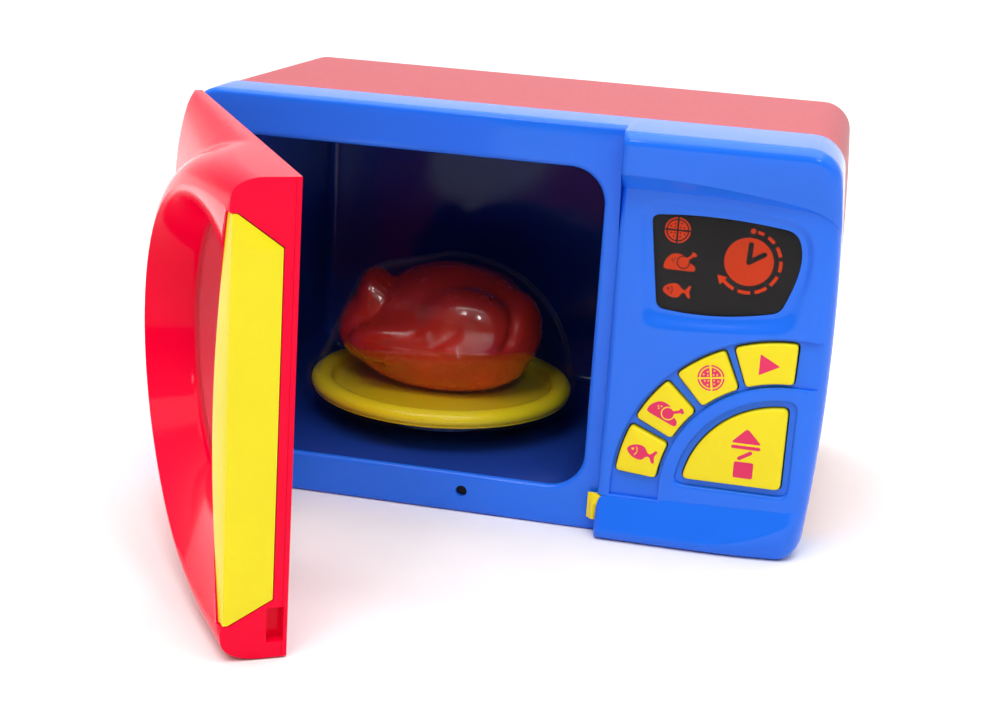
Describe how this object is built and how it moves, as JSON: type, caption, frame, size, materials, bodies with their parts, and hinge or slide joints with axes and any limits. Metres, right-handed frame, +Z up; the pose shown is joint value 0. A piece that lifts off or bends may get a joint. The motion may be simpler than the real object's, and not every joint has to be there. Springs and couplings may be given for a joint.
{
  "type": "toy microwave oven",
  "caption": "Play microwave oven with a swung-open windowed door, a turntable under a clear food cover, and a sector keypad below a small display.",
  "frame": {"origin": "Centre of the housing's flat underside, where it rests on the table.", "axes": "+Z is up, -Y is the front with the door and the keypad, and +X is to the right seen from the front, toward the keypad's side."},
  "size_m": [0.279, 0.3283, 0.174],
  "materials": {
    "royal_blue": "glossy moulded plastic",
    "navy_blue": "glossy moulded plastic",
    "red": "glossy moulded plastic",
    "magenta_red": "glossy moulded plastic",
    "yellow": "glossy moulded plastic",
    "brown": "glossy painted plastic",
    "black": "matte",
    "white": "smooth nylon",
    "white_rubber": "soft matte",
    "green": "satin laminate",
    "grey": "matte",
    "clear": "clear polished plastic",
    "steel": "zinc plated",
    "brass": "machined",
    "cell": "printed metal jacket",
    "motor_can": "plated can"
  },
  "bodies": {
    "housing": {"front_housing": "royal_blue", "rear_housing": "red", "oven_liner": "navy_blue", "display_window": "clear", "display_card": "black", "circuit_board": "green", "keypad_membrane": "white_rubber", "indicator_lamp_1": "clear", "indicator_lamp_2": "clear", "indicator_lamp_3": "clear", "drive_motor": "motor_can", "motor_bracket": "grey", "battery_box": "grey", "battery_door": "red", "battery_door_screw": "steel", "battery_1": "cell", "battery_2": "cell", "battery_3": "cell", "battery_contact_left_1": "steel", "battery_contact_left_2": "steel", "battery_contact_left_3": "steel", "battery_contact_right_1": "steel", "battery_contact_right_2": "steel", "battery_contact_right_3": "steel", "case_screw_1": "steel", "case_screw_2": "steel", "case_screw_3": "steel", "case_screw_4": "steel", "speaker": "black", "door_switch": "black", "hinge_pin_lower": "steel", "hinge_pin_upper": "steel"},
    "door": {"door_shell": "magenta_red", "door_inner_panel": "magenta_red", "door_window": "clear", "door_handle": "yellow"},
    "turntable": {"output_gear": "white", "turntable_hub": "royal_blue", "turntable_plate": "yellow", "toy_roast": "brown"},
    "cover": {"food_cover": "clear"},
    "idler": {"idler_gear": "white"},
    "compound": {"compound_gear": "white"},
    "pinion": {"motor_pinion": "brass"},
    "start_key": {"key_start": "yellow"},
    "pizza_key": {"key_pizza": "yellow"},
    "chicken_key": {"key_chicken": "yellow"},
    "fish_key": {"key_fish": "yellow"},
    "open_key": {"key_open": "yellow"},
    "latch_slide": {"latch": "yellow"}
  },
  "joints": [
    {"name": "door_hinge", "type": "hinge", "parent": "housing", "child": "door", "pos_m": [-0.132, -0.0835, 0], "axis": [0, 0, -1], "range_deg": [-58.9, 45]},
    {"name": "turntable_spin", "type": "hinge", "parent": "housing", "child": "turntable", "pos_m": [-0.038, -0.0035, 0], "axis": [0, 0, 1], "continuous": true},
    {"name": "idler_spin", "type": "hinge", "parent": "housing", "child": "idler", "pos_m": [0.0084, -0.0035, 0], "axis": [0, 0, 1], "continuous": true},
    {"name": "compound_spin", "type": "hinge", "parent": "housing", "child": "compound", "pos_m": [0.0373, -0.0035, 0], "axis": [0, 0, 1], "continuous": true},
    {"name": "pinion_spin", "type": "hinge", "parent": "housing", "child": "pinion", "pos_m": [0.06495, -0.0035, 0], "axis": [0, 0, 1], "continuous": true},
    {"name": "cover_lift", "type": "slide", "parent": "turntable", "child": "cover", "axis": [0, 0, 1], "range_m": [0, 0.035]},
    {"name": "start_press", "type": "slide", "parent": "housing", "child": "start_key", "axis": [0, 1, 0], "range_m": [0, 0.0018], "stiffness_N_per_m": 300},
    {"name": "pizza_press", "type": "slide", "parent": "housing", "child": "pizza_key", "axis": [0, 1, 0], "range_m": [0, 0.0018], "stiffness_N_per_m": 300},
    {"name": "chicken_press", "type": "slide", "parent": "housing", "child": "chicken_key", "axis": [0, 1, 0], "range_m": [0, 0.0018], "stiffness_N_per_m": 300},
    {"name": "fish_press", "type": "slide", "parent": "housing", "child": "fish_key", "axis": [0, 1, 0], "range_m": [0, 0.0018], "stiffness_N_per_m": 300},
    {"name": "open_press", "type": "slide", "parent": "housing", "child": "open_key", "axis": [0, 1, 0], "range_m": [0, 0.004], "stiffness_N_per_m": 300},
    {"name": "latch_travel", "type": "slide", "parent": "housing", "child": "latch_slide", "axis": [1, 0, 0], "range_m": [0, 0.005]}
  ],
  "couplings": [
    {"joint": "idler_spin", "follows": "turntable_spin", "ratio": -1.1765},
    {"joint": "compound_spin", "follows": "turntable_spin", "ratio": 3.3333},
    {"joint": "pinion_spin", "follows": "turntable_spin", "ratio": -11.333},
    {"joint": "latch_travel", "follows": "open_press", "ratio": 1.25}
  ]
}
